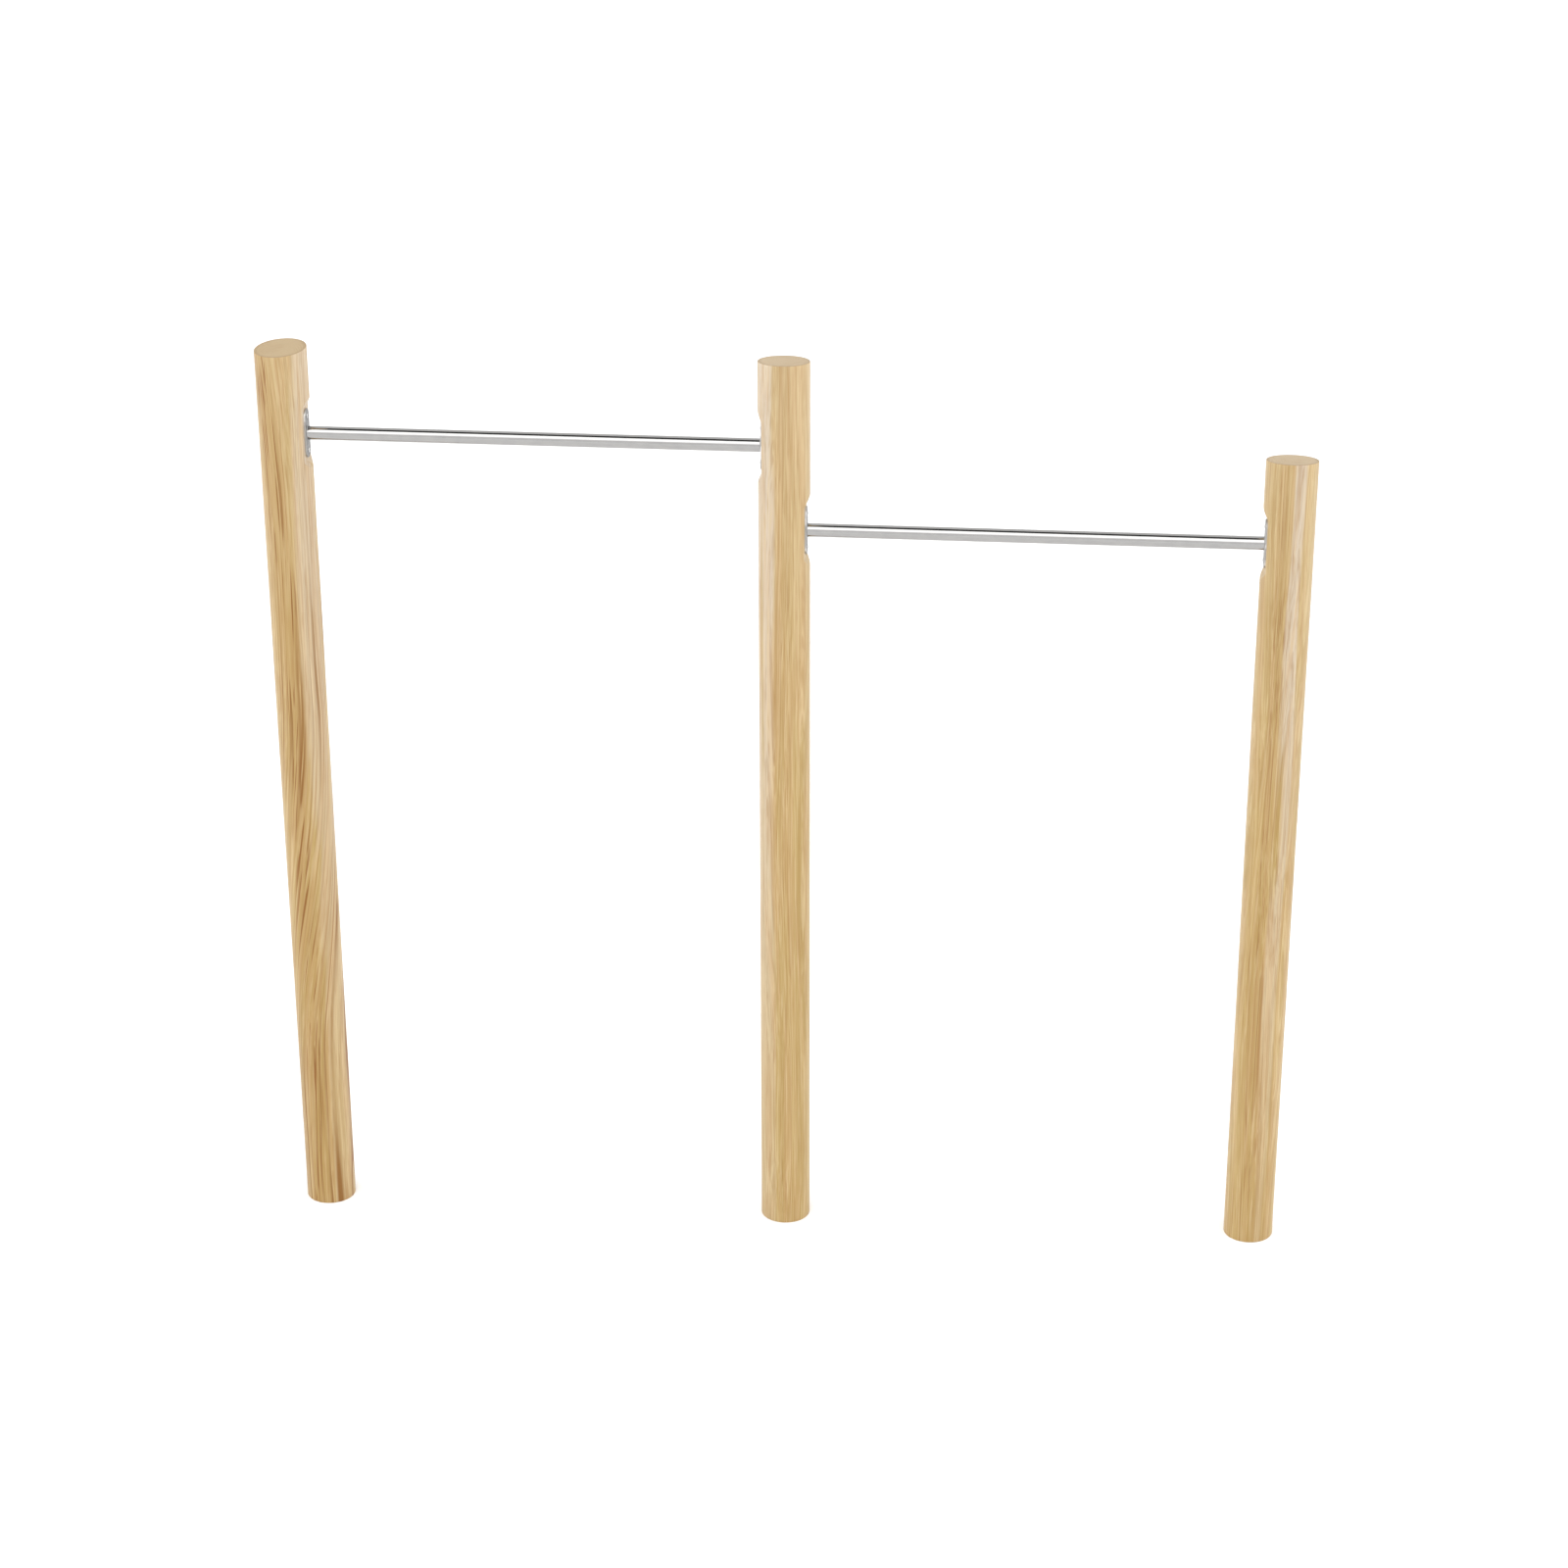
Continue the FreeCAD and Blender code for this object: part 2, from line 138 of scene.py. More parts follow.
def notch_surface(distance, floor, radius):
    """How far from the post's axis a notch's surface is, at a distance along the post from the
    bar's axis: a flat floor, then on each side two equal arcs with a straight run between them."""
    floor_end = NOTCH_FLOOR / 2
    notch_end = NOTCH_LENGTH / 2
    rise = notch_end - floor_end
    gap = 2 * RAMP_RADIUS - (radius - floor)
    slope = math.asin(2 * RAMP_RADIUS / math.hypot(rise, gap)) - math.atan2(gap, rise)
    bend = RAMP_RADIUS * math.sin(slope)
    along = np.abs(distance)
    from_floor = np.clip(along - floor_end, 0, bend)
    from_crest = np.clip(notch_end - along, 0, bend)
    foot = floor + RAMP_RADIUS - np.sqrt(RAMP_RADIUS**2 - from_floor**2)
    crest = radius - RAMP_RADIUS + np.sqrt(RAMP_RADIUS**2 - from_crest**2)
    run = floor + RAMP_RADIUS * (1 - math.cos(slope)) + (along - floor_end - bend) * math.tan(slope)
    return np.where(along < floor_end + bend, foot, np.where(along > notch_end - bend, crest, run))


def soft_least(a, b, ease):
    """The lesser of a and b, rounded off where they meet."""
    near = np.clip(ease - np.abs(a - b), 0, None)
    return np.minimum(a, b) - near**2 / (4 * ease)


def post_mesh(name, joints, seed):
    """A round post with its notches and its sloping top. Each row of points is one height and each
    column one angle, and what is worked out is how far from the axis the surface is there."""
    low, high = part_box(name)
    radius = (high.x - low.x) / 2
    axis_x = (high.x + low.x) / 2
    height, fall, low_side = TOPS[name]
    cuts = []
    for joint, facing in joints:
        plate_low, plate_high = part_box(f"plate_{joint}")
        back = plate_low.x if facing > 0 else plate_high.x
        cuts.append((facing, (plate_low.z + plate_high.z) / 2, abs(back - axis_x)))

    sides = [0 if facing > 0 else math.pi for facing, _, _ in cuts]
    turn = spread(-math.pi / 2, 1.5 * math.pi, sides, NOTCH_REACH,
                  COARSE_ARC / radius, FINE_ARC / radius)
    reach = NOTCH_LENGTH / 2 + NOTCH_MARGIN
    heights = spread(END_ROUND, height - END_ROUND, [z for _, z, _ in cuts], reach,
                     COARSE_STEP, FINE_STEP)
    bend = np.linspace(0, math.pi / 2, END_ROUND_ROWS, endpoint=False)
    lift = END_ROUND * (1 - np.cos(bend))
    setback = END_ROUND * (1 - np.sin(bend))
    rows_z = np.concatenate([lift, heights, [height - END_ROUND], height - lift[::-1]])
    inset = np.concatenate([setback, 0 * heights, [0], setback[::-1]])

    wave = np.random.default_rng(seed).uniform(0, 2 * math.pi, 3)
    angle, z = np.meshgrid(turn, rows_z)
    surface = radius - inset[:, None] + 0 * angle
    surface -= BROAD_WAVE * (1 + np.sin(3 * angle + 5.1 * z + wave[0]) * np.sin(9 * z + wave[1]))
    surface -= FINE_WAVE * (1 + np.sin(7 * angle - 11 * z + wave[2]))
    for facing, bar_z, floor in cuts:
        across = np.cos(angle) * facing
        notch = notch_surface(z - bar_z, floor, radius)
        inside = (across > NOTCH_SIDE) & (np.abs(z - bar_z) < NOTCH_LENGTH / 2)
        cut = np.where(inside, notch / np.where(inside, across, 1), 1)
        surface = soft_least(surface, cut, EDGE_EASE)

    # The rows near the top lean over with it.
    share = np.clip((z - height + TOP_REACH) / (TOP_REACH - END_ROUND), 0, 1)
    z = z - share * fall / (2 * radius) * surface * np.cos(angle - low_side)
    points = np.stack([axis_x + surface * np.cos(angle), surface * np.sin(angle), z], axis=-1)
    rows, columns = angle.shape
    faces = grid_faces(rows, columns)
    faces.append(list(range(columns))[::-1])
    faces.append(list(range((rows - 1) * columns, rows * columns)))
    return mesh_from(name, points.reshape(-1, 3), faces), cuts, axis_x


def lathe_mesh(name, profile, centre):
    """Turns a closed profile of (x, radius) points about a line along X through centre."""
    turn = np.linspace(0, 2 * math.pi, TUBE_SEGMENTS, endpoint=False)
    x, radius = np.asarray(profile, float).T
    along = np.repeat(x[None, :], TUBE_SEGMENTS, axis=0)
    points = np.stack([along, centre.y + radius * np.cos(turn)[:, None],
                       centre.z + radius * np.sin(turn)[:, None]], axis=-1)
    count = len(profile)
    faces = []
    for row in range(TUBE_SEGMENTS):
        start = row * count
        following = (row + 1) % TUBE_SEGMENTS * count
        for here in range(count):
            ahead = (here + 1) % count
            faces.append([start + here, start + ahead, following + ahead, following + here])
    mesh = mesh_from(name, points.reshape(-1, 3), faces)
    mesh.set_sharp_from_angle(angle=SHARP_ANGLE)
    return mesh


def drill_pilots(piece, cuts, axis_x):
    """Bores the screws' pilot holes into a post, and keeps the result as its mesh."""
    for facing, bar_z, floor in cuts:
        for side in (-1, 1):
            bore = bpy.data.meshes.new("bore")
            shape = bmesh.new()
            bmesh.ops.create_cone(shape, cap_ends=True, segments=BORE_SEGMENTS,
                                  radius1=PILOT_DIAMETER / 2, radius2=PILOT_DIAMETER / 2,
                                  depth=2 * PILOT_DEPTH)
            turn = Euler((0, math.pi / 2, 0)).to_matrix().to_4x4()
            place = Matrix.Translation((axis_x + facing * floor, 0, bar_z + side * SCREW_SPACING / 2))
            shape.transform(place @ turn)
            shape.to_mesh(bore)
            shape.free()
            cutter = bpy.data.objects.new("bore", bore)
            bpy.context.scene.collection.objects.link(cutter)
            boolean = piece.modifiers.new("pilot", "BOOLEAN")
            boolean.operation = "DIFFERENCE"
            boolean.solver = "EXACT"
            boolean.object = cutter
            bpy.context.view_layer.update()
            depsgraph = bpy.context.evaluated_depsgraph_get()
            bored = bpy.data.meshes.new_from_object(piece.evaluated_get(depsgraph))
            piece.modifiers.clear()
            piece.data = bored
            bpy.data.objects.remove(cutter)


# ---------------------------------------------------------------- materials

class Nodes:
    """A tree of nodes. Each method but feed adds a node and returns its output."""

    def __init__(self, tree):
        self.tree = tree

    def feed(self, socket, value):
        if isinstance(value, bpy.types.NodeSocket):
            self.tree.links.new(value, socket)
        else:
            socket.default_value = value

    def math(self, operation, *values):
        node = self.tree.nodes.new("ShaderNodeMath")
        node.operation = operation
        for socket, value in zip(node.inputs, values):
            self.feed(socket, value)
        return node.outputs[0]

    def vector(self, operation, *values):
        node = self.tree.nodes.new("ShaderNodeVectorMath")
        node.operation = operation
        for socket, value in zip(node.inputs, values):
            self.feed(socket, value)
        return node.outputs["Value" if operation == "LENGTH" else "Vector"]

    def place(self):
        return self.tree.nodes.new("ShaderNodeTexCoord").outputs["Object"]

    def normal(self):
        return self.tree.nodes.new("ShaderNodeNewGeometry").outputs["Normal"]

    def turned(self, vector, angle):
        """Turns a vector about Z."""
        node = self.tree.nodes.new("ShaderNodeVectorRotate")
        node.rotation_type = "Z_AXIS"
        self.feed(node.inputs["Vector"], vector)
        self.feed(node.inputs["Angle"], angle)
        return node.outputs[0]

    def part(self, vector, axis):
        node = self.tree.nodes.new("ShaderNodeSeparateXYZ")
        self.feed(node.inputs[0], vector)
        return node.outputs[axis]

    def triple(self, x, y, z):
        node = self.tree.nodes.new("ShaderNodeCombineXYZ")
        for socket, value in zip(node.inputs, (x, y, z)):
            self.feed(socket, value)
        return node.outputs[0]

    def product(self, first, *others):
        for other in others:
            first = self.math("MULTIPLY", first, other)
        return first

    def noise(self, vector, stretch, detail=2.0, roughness=0.5, output=0):
        """Noise whose features come stretch times in a metre along each axis."""
        node = self.tree.nodes.new("ShaderNodeTexNoise")
        node.inputs["Scale"].default_value = 1.0
        node.inputs["Detail"].default_value = detail
        node.inputs["Roughness"].default_value = roughness
        self.feed(node.inputs["Vector"], self.vector("MULTIPLY", vector, stretch))
        return node.outputs[output]

    def elsewhere(self, vector, offset):
        """The same vector moved away, so that noise made from it is unlike the noise made before."""
        return self.vector("ADD", vector, offset)

    def shift(self, vector, stretch, reach):
        """A smooth sideways shift, up to about half of reach each way."""
        noise = self.noise(vector, stretch, detail=0.0, output=1)
        wander = self.vector("SUBTRACT", noise, (0.5, 0.5, 0.5))
        return self.vector("MULTIPLY", wander, (reach, reach, 0))

    def chance(self, value):
        """An even random number from 0 to 1 for each value."""
        node = self.tree.nodes.new("ShaderNodeTexWhiteNoise")
        node.noise_dimensions = "1D"
        self.feed(node.inputs["W"], value)
        return node.outputs["Value"]

    def span(self, value, low, high, to_low=0.0, to_high=1.0, smooth=False):
        """Maps low..high to to_low..to_high, and holds it there beyond them."""
        node = self.tree.nodes.new("ShaderNodeMapRange")
        node.interpolation_type = "SMOOTHSTEP" if smooth else "LINEAR"
        for socket, number in zip(node.inputs, (value, low, high, to_low, to_high)):
            self.feed(socket, number)
        return node.outputs[0]

    def blend(self, share, first, second):
        """The first colour where share is 0 and the second where it is 1."""
        node = self.tree.nodes.new("ShaderNodeMix")
        node.data_type = "RGBA"
        self.feed(node.inputs["Factor"], share)
        self.feed(node.inputs["A"], first)
        self.feed(node.inputs["B"], second)
        return node.outputs["Result"]

    def curve(self, value, stops):
        """A brightness for each value, straight between the stops."""
        node = self.tree.nodes.new("ShaderNodeValToRGB")
        ramp = node.color_ramp
        while len(ramp.elements) < len(stops):
            ramp.elements.new(0.5)
        for element, (position, level) in zip(ramp.elements, stops):
            element.position = position
            element.color = (level, level, level, 1)
        self.feed(node.inputs[0], value)
        return node.outputs[0]


class Material(Nodes):
    """A material made of nodes."""

    def __init__(self, name):
        self.material = bpy.data.materials.new(name)
        self.material.use_nodes = True
        super().__init__(self.material.node_tree)
        self.shader = self.tree.nodes["Principled BSDF"]

    def set(self, **values):
        """Sets the shader's sockets, named with _ for a space."""
        for name, value in values.items():
            self.feed(self.shader.inputs[name.replace("_", " ")], value)

    def bump(self, height, distance, strength=1.0):
        """Makes the surface rise and fall with height, by up to this distance."""
        node = self.tree.nodes.new("ShaderNodeBump")
        node.inputs["Strength"].default_value = strength
        node.inputs["Distance"].default_value = distance
        self.feed(node.inputs["Height"], height)
        self.feed(self.shader.inputs["Normal"], node.outputs[0])


def linear(red, green, blue):
    """A colour given as it looks on a screen, 0 to 255, in the shader's linear values."""
    values = [channel / 255 for channel in (red, green, blue)]
    return (*[v / 12.92 if v < 0.04045 else ((v + 0.055) / 1.055) ** 2.4 for v in values], 1)


# How dark a growth ring is from its start to its end.
LATE_WOOD = [(0, 0.05), (0.1, 0), (0.45, 0.08), (0.72, 0.45), (0.88, 1), (0.98, 0.9), (1, 0.05)]

# The wood's colours.
DARK_BAND = linear(158, 132, 75)
LIGHT_BAND = linear(172, 147, 94)
# Painted light: a paler, greyer colour that the posts take on towards their tops, standing in for light
# from above.
PAINTED_TOP_LIGHT = linear(184, 164, 128)
PALE_BAND = linear(187, 174, 156)
ROSY_TINT = linear(179, 146, 105)
DARK_FIBRE = linear(145, 110, 52)
LIGHT_FIBRE = linear(194, 173, 134)
BESIDE_CORE = linear(151, 116, 55)
FLECK = linear(143, 104, 48)
DARK_STREAK = linear(124, 77, 8)
SAWN_END = linear(162, 139, 101)
SAWN_EDGE = linear(138, 112, 72)
RING_LINE = linear(122, 79, 10)

# How many times in a metre each of the wood's patterns comes, along X, Y and Z.
BULGES = (24, 24, 0.42)
RIPPLES = (60, 60, 0.9)
WIGGLES = (12, 12, 5.5)
SLANTS = (5, 5, 1.2)
FADING = (22, 22, 1.1)
BANDS = (30, 30, 0.5)
TINTS = (110, 110, 0.9)
FIBRES = (230, 230, 4.0)
HAIRS = (1500, 1500, 20)
STREAKS = (260, 260, 0.9)
FLECKS = (330, 330, 13)

# How far ripples and wiggles push the grain aside, in metres.
RIPPLE_REACH, WIGGLE_REACH = 0.007, 0.0022
# The share of the grain's slant that the rings follow.
RING_SLANT = 0.4
# The pith and the dark streaks lean above this height, and the grain winds between these two.
LEAN_FROM = 1.75
TWIST_HEIGHTS = (0.35, 1.35)
# A sawn end darkens from the first of these distances from the axis to the second.
SAWN_RIM = (0.050, 0.0595)
WOOD_RELIEF = 0.00015


class Wood(Material):
    """Solid wood: growth rings about a pith that leans and sways along the post, so that the sides
    and the ends agree, with streaks and fibres along the post and broad bands of colour."""

    def __init__(self, name, axis_x, grain):
        super().__init__(name)
        self.grain = grain
        self.at = self.vector("SUBTRACT", self.place(), (axis_x, 0, 0))
        self.height = self.part(self.at, "Z")
        self.above = self.math("MAXIMUM", self.math("SUBTRACT", self.height, LEAN_FROM), 0.0)
        self.end = self.span(self.math("ABSOLUTE", self.part(self.normal(), "Z")), 0.75, 0.97)
        self.side = self.math("SUBTRACT", 1.0, self.end)
        # The grain winds round the post.
        turn = self.span(self.height, *TWIST_HEIGHTS, 0, -grain["twist"], smooth=True)
        wound = self.turned(self.at, turn)
        seed = grain["seed"]
        self.offset = (seed, 2.3 * seed, 0.7 * seed)
        seeded = self.elsewhere(wound, self.offset)
        # Rings are far from round: they bulge here and there over most of the post's length.
        self.bulges = self.shift(seeded, BULGES, grain["bulge"])
        ripples = self.shift(self.elsewhere(seeded, (0, 2, 0)), RIPPLES, RIPPLE_REACH)
        wiggles = self.shift(self.elsewhere(seeded, (2, 0, 0)), WIGGLES, WIGGLE_REACH)
        bent = self.vector("ADD", self.vector("ADD", self.vector("ADD", wound, self.bulges), ripples),
                           wiggles)
        # The grain as a whole slants one way and the other along the post.
        slanting = self.shift(self.elsewhere(seeded, (0, 0, 4)), SLANTS, grain["sway"])
        self.ring_slant = self.vector("MULTIPLY", slanting, (RING_SLANT, RING_SLANT, 0))
        self.along = self.elsewhere(self.vector("ADD", bent, slanting), self.offset)

        rings = self.rings(bent, seeded)
        fibres = self.noise(self.along, FIBRES, detail=3, roughness=0.7)
        hairs = self.noise(self.along, HAIRS, detail=2, roughness=0.6)
        shine = self.math("ADD", self.product(hairs, 0.5), self.product(rings, 0.3))
        self.set(Base_Color=self.colour(rings, fibres), Roughness=self.span(shine, 0.1, 0.6, 0.40, 0.56),
                 Sheen_Weight=0.08, Sheen_Roughness=0.4)
        relief = self.math("ADD", self.product(hairs, 0.5), self.product(fibres, 0.8))
        self.bump(self.math("SUBTRACT", relief, self.product(rings, 0.5)), WOOD_RELIEF)

    def rings(self, bent, seeded):
        """The growth rings' dark lines, some stronger than others, which fade in and out."""
        leaning = self.vector("MULTIPLY", self.triple(self.above, self.above, 0.0),
                              (*self.grain["lean"], 0))
        pith = self.vector("ADD", leaning, (*self.grain["pith"], 0))
        from_pith = self.vector("SUBTRACT", self.vector("ADD", bent, self.ring_slant), pith)
        flat = self.vector("MULTIPLY", from_pith, (1, 1, 0))
        count = self.math("DIVIDE", self.vector("LENGTH", flat), self.grain["ring"])
        late = self.curve(self.math("FRACT", count), LATE_WOOD)
        number = self.math("ADD", self.math("FLOOR", count), self.grain["seed"])
        strength = self.span(self.chance(number), 0, 1, 0.4, 1)
        fading = self.noise(self.elsewhere(seeded, (5, 0, 0)), FADING, detail=1)
        return self.product(late, strength, self.span(fading, 0.38, 0.60, 0.2, 1, smooth=True))

    def near_core(self):
        """1 where the dark streaks are, and less away from there."""
        place, lean = self.grain["core"]
        core_x = self.math("ADD", self.product(self.above, lean), place)
        pushed = self.vector("ADD", self.vector("ADD", self.at, self.bulges), self.ring_slant)
        sideways = self.math("ABSOLUTE", self.math("SUBTRACT", self.part(pushed, "X"), core_x))
        return self.span(sideways, 0.006, 0.034, 1, 0.15, smooth=True)

    def paleness(self, bands):
        """1 in the post's paler band, which fades towards the ground."""
        place, half_width, _ = self.grain["pale"]
        wavering = self.math("ADD", self.part(self.at, "X"), self.span(bands, 0.3, 0.7, -0.014, 0.014))
        distance = self.math("ABSOLUTE", self.math("SUBTRACT", wavering, place))
        return self.product(self.span(distance, 1.35 * half_width, 0.65 * half_width, smooth=True),
                            self.span(self.height, 0.3, 1.7, 0.25, 1))

    def colour(self, rings, fibres):
        """The wood's colour, from the broadest patterns to the finest, then the sawn ends."""
        grain = self.grain
        side = self.side
        bands = self.noise(self.along, BANDS, detail=2.0)
        tint = self.noise(self.elsewhere(self.along, (3, 0, 0)), TINTS, detail=2)
        streak = self.noise(self.elsewhere(self.along, (0, 9, 0)), STREAKS, detail=1)
        flecks = self.noise(self.elsewhere(self.along, (0, 4, 0)), FLECKS, detail=1)
        near_core = self.near_core()
        streaks = self.product(near_core, self.span(streak, 0.55, 0.66, smooth=True), grain["streaks"])
        from_axis = self.vector("LENGTH", self.vector("MULTIPLY", self.at, (1, 1, 0)))
        by_height = self.span(self.height, 1.9, 1.1, *grain["lines"], smooth=True)

        # Each share of a colour, and the colour.
        layers = [
            # Painted light from above: the post turns paler and greyer towards its top.
            (self.span(self.height, 1.1, 2.2, 0, grain["grey"]), PAINTED_TOP_LIGHT),
            (self.product(self.paleness(bands), side, grain["pale"][2]), PALE_BAND),
            (self.span(tint, 0.46, 0.60, 0, 0.4), ROSY_TINT),
            (self.product(self.span(fibres, 0.48, 0.64), side, 0.42), DARK_FIBRE),
            (self.product(self.span(fibres, 0.50, 0.36), side, 0.50), LIGHT_FIBRE),
            (self.product(near_core, side, 0.4 * grain["streaks"]), BESIDE_CORE),
            (self.product(self.span(flecks, 0.58, 0.72), side, 0.35), FLECK),
            (self.product(streaks, side), DARK_STREAK),
            (self.product(self.end, 0.8), SAWN_END),
            (self.product(self.end, self.span(from_axis, *SAWN_RIM, 0, 0.75)), SAWN_EDGE),
            (self.product(rings, self.span(self.end, 0, 1, by_height, 0.42)), RING_LINE),
        ]
        colour = self.blend(self.span(bands, 0.36, 0.64), DARK_BAND, LIGHT_BAND)
        for share, layer in layers:
            colour = self.blend(share, colour, layer)
        return colour


# How many times in a metre the steels' faint clouds and the patches of painted highlight on their edges
# come.
CLOUDS = (35, 60, 60)
HIGHLIGHT_PATCHES = (60, 60, 38)
# The near-white colour painted on a plate's rounded edges as a highlight.
PAINTED_EDGE_HIGHLIGHT = (0.95, 0.95, 0.95, 1)


def steel(name, level, roughness, lines, depth, edges=(0.0, 0.0)):
    """Steel of one grey level, with fine lines that come so many times in a metre along each axis and
    faint clouds. Edges is how much of a painted highlight, a near-white colour, the faces along X have,
    between and in patches: it stands in for the light that a plate's rounded edges catch."""
    m = Material(name)
    at = m.place()
    fine = m.noise(at, lines, detail=3, roughness=0.6)
    clouds = m.noise(m.elsewhere(at, (3, 1, 2)), CLOUDS, detail=3)
    bright = (level, level * 0.985, level * 0.965, 1)
    dull = (level * 0.93, level * 0.92, level * 0.91, 1)
    grit = m.math("ADD", m.product(fine, 0.6), m.product(clouds, 0.4))
    patches = m.noise(m.elsewhere(at, (7, 5, 0)), HIGHLIGHT_PATCHES, detail=1)
    on_edge = m.span(m.math("ABSOLUTE", m.part(m.normal(), "X")), 0.5, 0.9, 1, 0)
    # Painted highlight: near-white patches on the edge faces, where the rounded edges catch the light.
    white = m.product(on_edge, m.span(patches, 0.50, 0.58, *edges, smooth=True))
    colour = m.blend(m.span(clouds, 0.35, 0.65), bright, dull)
    m.set(Metallic=1.0, Base_Color=m.blend(white, colour, PAINTED_EDGE_HIGHLIGHT),
          Roughness=m.span(grit, 0.35, 0.65, roughness * 0.75, roughness * 1.35))
    m.bump(fine, depth, 0.6)
    return m.material


# ---------------------------------------------------------------- the object

# Each post's grain, with places and widths in metres from the post's axis.
# seed: sets its random patterns
# pith, lean: the middle of the rings, and how far per metre it leans above LEAN_FROM
# ring, bulge: the width of a growth ring, and how far bulges push the rings out of round
# twist: how far the grain winds round the post, in radians
# lines: how strongly ring lines show, high up and low down
# streaks, sway: how strongly dark streaks show, and how far the grain slants to and fro
# core: where along X the dark streaks are, and how far per metre they lean above LEAN_FROM
# pale: where along X a paler band is, half its width, and how strongly it shows
# grey: how much of the paler, greyer colour, painted light from above, the post has at its top
GRAIN = {
    "post_left": {"seed": 3.1, "pith": (-0.028, 0.010), "lean": (0.0, 0.0), "ring": 0.0058,
                  "bulge": 0.018, "twist": 1.9, "lines": (0.36, 1.6), "streaks": 1.0, "sway": 0.07,
                  "core": (-0.006, -0.08), "pale": (0.046, 0.019, 0.7), "grey": 0.45},
    "post_middle": {"seed": 11.7, "pith": (-0.012, 0.014), "lean": (0.0, 0.008), "ring": 0.0055,
                    "bulge": 0.040, "twist": 0.0, "lines": (0.24, 0.32), "streaks": 0.30, "sway": 0.05,
                    "core": (0.010, 0.0), "pale": (-0.036, 0.019, 0.95), "grey": 0.75},
    "post_right": {"seed": 23.9, "pith": (0.014, 0.012), "lean": (0.006, 0.010), "ring": 0.0058,
                   "bulge": 0.040, "twist": 0.0, "lines": (0.30, 0.34), "streaks": 0.50, "sway": 0.06,
                   "core": (-0.010, 0.0), "pale": (0.020, 0.014, 0.95), "grey": 0.60},
}

for number, (name, joints) in enumerate(POSTS.items()):
    mesh, cuts, axis_x = post_mesh(name, joints, seed=number + 1)
    piece = new_piece(f"wood_{name}", mesh, "wood", name)
    drill_pilots(piece, cuts, axis_x)
    piece.data.materials.append(Wood(f"wood_{name}", axis_x, GRAIN[name]).material)

tube_steel = steel("tube_steel", 0.385, 0.09, lines=(6, 900, 900), depth=0.000004)
for name in BARS:
    low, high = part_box(name)
    centre = (low + high) / 2
    outer = (high.z - low.z) / 2
    inner = outer - TUBE_WALL
    along = np.linspace(low.x, high.x, TUBE_STEPS)
    profile = [(x, outer) for x in along] + [(x, inner) for x in along[::-1]]
    piece = new_piece(f"tube_{name}", lathe_mesh(name, profile, centre), "tube_steel", name)
    piece.data.materials.append(tube_steel)

# The plates, screws and welds keep the CAD's meshes and get a finish.
FINISHES = {
    # The plates' edges get patches of painted highlight.
    "plate": steel("plate_steel", 0.21, 0.45, lines=(300, 300, 300), depth=0.00001, edges=(0.33, 0.7)),
    "screw": steel("screw_steel", 0.52, 0.20, lines=(400, 400, 400), depth=0.000008),
    "weld": steel("weld_steel", 0.28, 0.35, lines=(500, 500, 500), depth=0.00002),
}
for name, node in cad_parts.items():
    kind = name.split("_")[0]
    if kind in FINISHES:
        node.data.materials.clear()
        node.data.materials.append(FINISHES[kind])

# ---------------------------------------------------------------- stage, light and camera

FLOOR_SIZE = 120.0
FLOOR_WHITE = (0.94, 0.94, 0.94, 1)
half = FLOOR_SIZE / 2
corners = [(-half, -half, 0), (half, -half, 0), (half, half, 0), (-half, half, 0)]
floor_mesh = bpy.data.meshes.new("floor")
floor_mesh.from_pydata(corners, [], [(0, 1, 2, 3)])
floor = bpy.data.objects.new("floor", floor_mesh)
bpy.context.scene.collection.objects.link(floor)
white = Material("floor")
white.set(Base_Color=FLOOR_WHITE, Roughness=0.9, Specular_IOR_Level=0.1)
floor_mesh.materials.append(white.material)

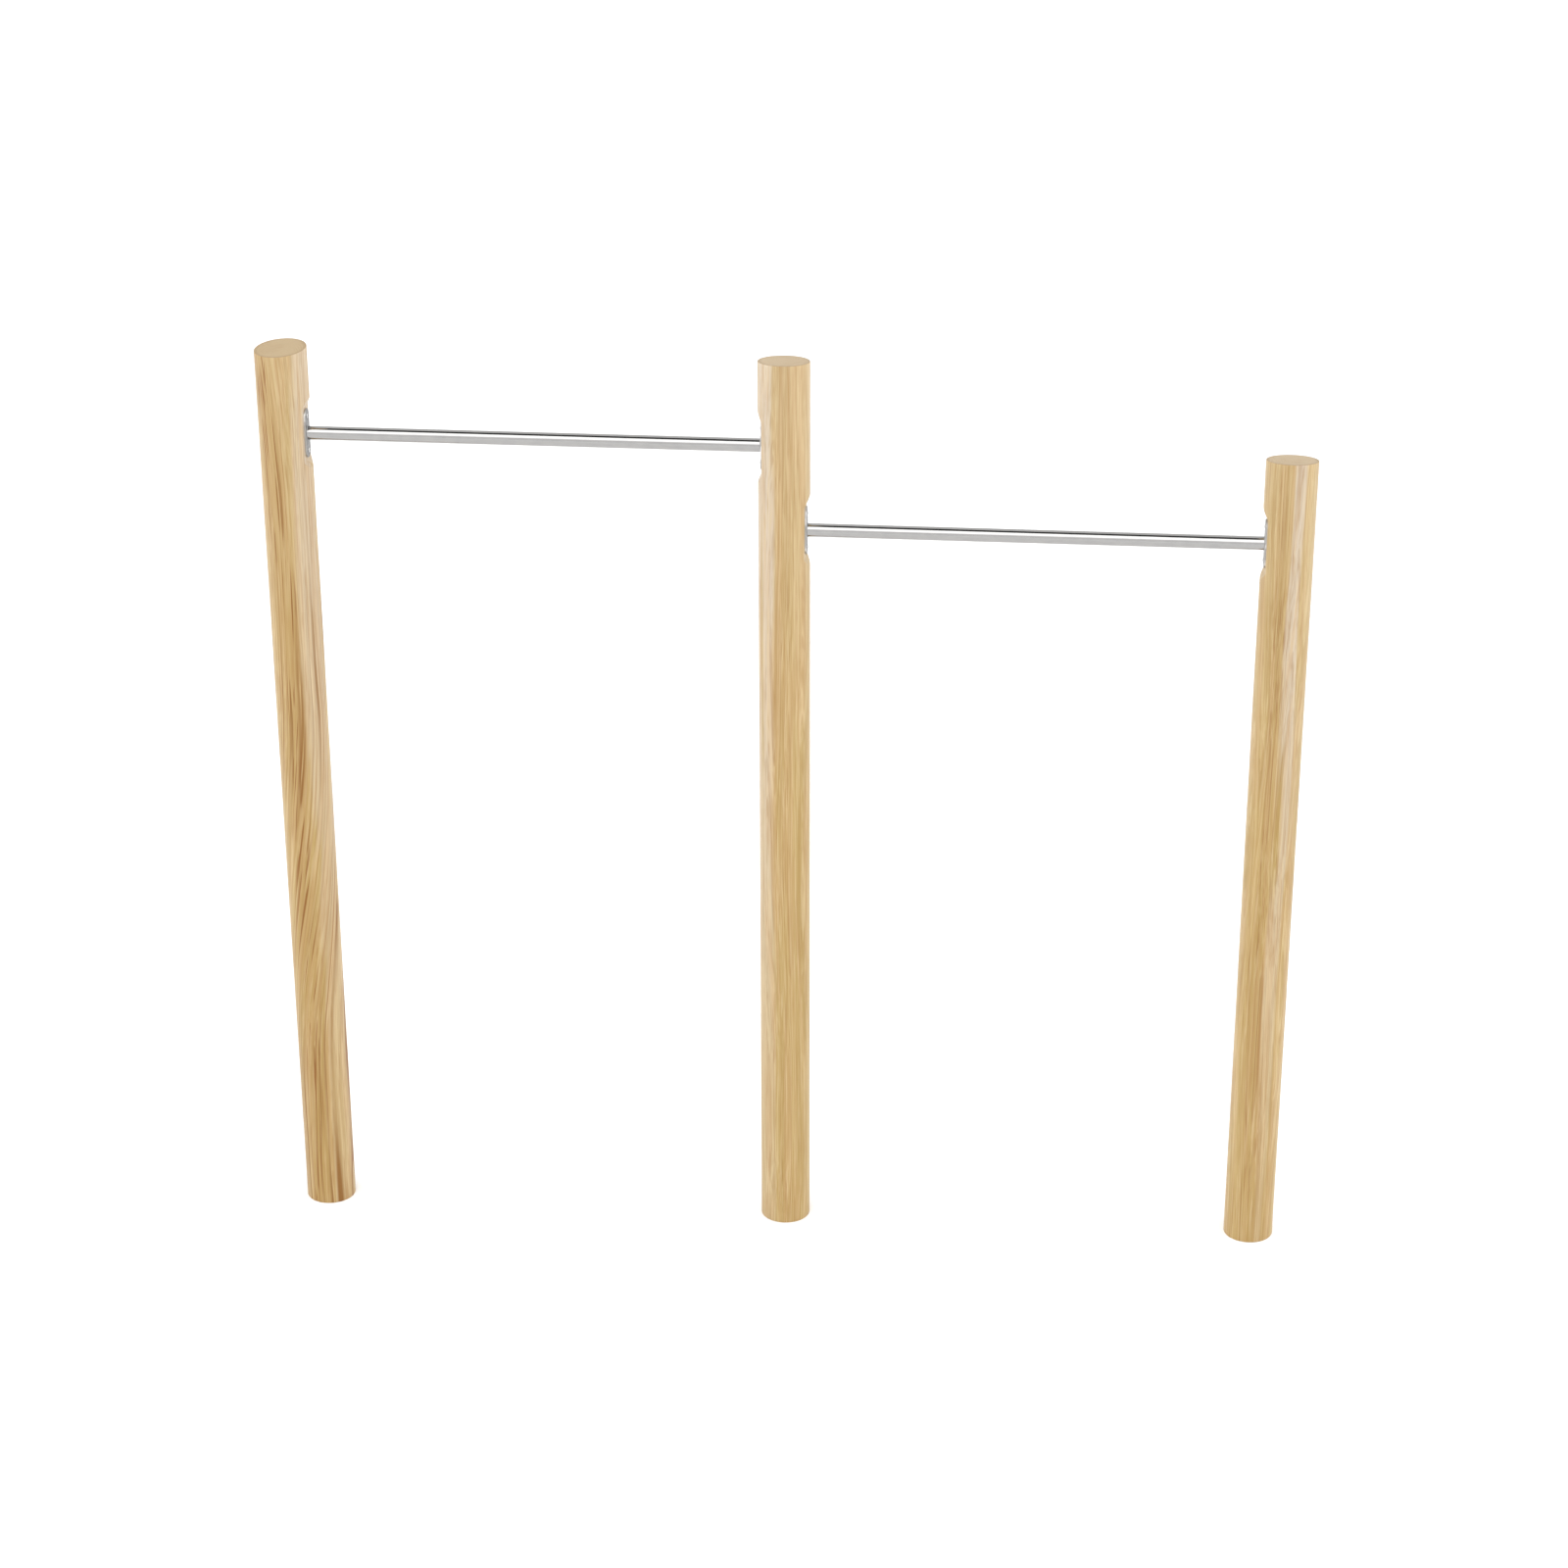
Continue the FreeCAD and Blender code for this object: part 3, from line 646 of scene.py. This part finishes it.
# The studio's light comes from the world. A big soft box stands in front, with a black gap over it,
# and is as wide as the bars need for their reflections; more soft light comes from both sides.
# Brightness goes by degrees from the horizon in front, 0, over the top, 90, to the one behind, 180.
# How far sideways, from 0 to 1, the middle light gives way is MIDDLE_WIDTH, and SIDE_WIDTH is where
# the side light comes in.
MIDDLE_LIGHT = [(0, 1.3), (26, 1.4), (34, 2.9), (70, 2.9), (76, 0.05), (103, 0.05), (108, 1.05),
                (180, 1.05)]
ROUND_LIGHT = [(0, 1.05), (45, 1.05), (65, 1.6), (115, 1.6), (135, 1.05), (180, 1.05)]
MIDDLE_WIDTH = (0.36, 0.44)
SIDE_LIGHT = 1.3
SIDE_WIDTH = (0.70, 0.85)

world = bpy.data.worlds.new("studio")
bpy.context.scene.world = world
world.use_nodes = True
sky = Nodes(world.node_tree)
direction = sky.tree.nodes.new("ShaderNodeTexCoord").outputs["Generated"]
ahead = sky.product(sky.part(direction, "Y"), -1.0)
over = sky.math("DIVIDE", sky.math("ARCTAN2", sky.part(direction, "Z"), ahead), math.pi)
sideways = sky.math("ABSOLUTE", sky.part(direction, "X"))
middle = sky.curve(over, [(degrees / 180, level) for degrees, level in MIDDLE_LIGHT])
round_about = sky.curve(over, [(degrees / 180, level) for degrees, level in ROUND_LIGHT])
sides = sky.span(sideways, *SIDE_WIDTH, 0.0, SIDE_LIGHT, smooth=True)
light = sky.blend(sky.span(sideways, *MIDDLE_WIDTH), middle, sky.math("ADD", round_about, sides))
sky.feed(sky.tree.nodes["Background"].inputs["Color"], light)

CAMERA_PLACE = (0.6919, -7.5272, 4.4306)
CAMERA_YAW = math.radians(4.21)
CAMERA_PITCH = math.radians(-23.38)
CAMERA_ROLL = math.radians(-0.29)
CAMERA_LENS = 79.79
CAMERA_SHIFT = -0.0375
SENSOR_WIDTH = 36
camera = bpy.data.objects.new("camera", bpy.data.cameras.new("camera"))
bpy.context.scene.collection.objects.link(camera)
camera.data.lens = CAMERA_LENS
camera.data.shift_x = CAMERA_SHIFT
camera.data.sensor_width = SENSOR_WIDTH
aim = Euler((math.pi / 2 + CAMERA_PITCH, 0, CAMERA_YAW)).to_matrix()
roll = Euler((0, 0, -CAMERA_ROLL)).to_matrix()
camera.matrix_world = Matrix.Translation(CAMERA_PLACE) @ (aim @ roll).to_4x4()
bpy.context.scene.camera = camera
bpy.context.scene.view_settings.view_transform = "Standard"
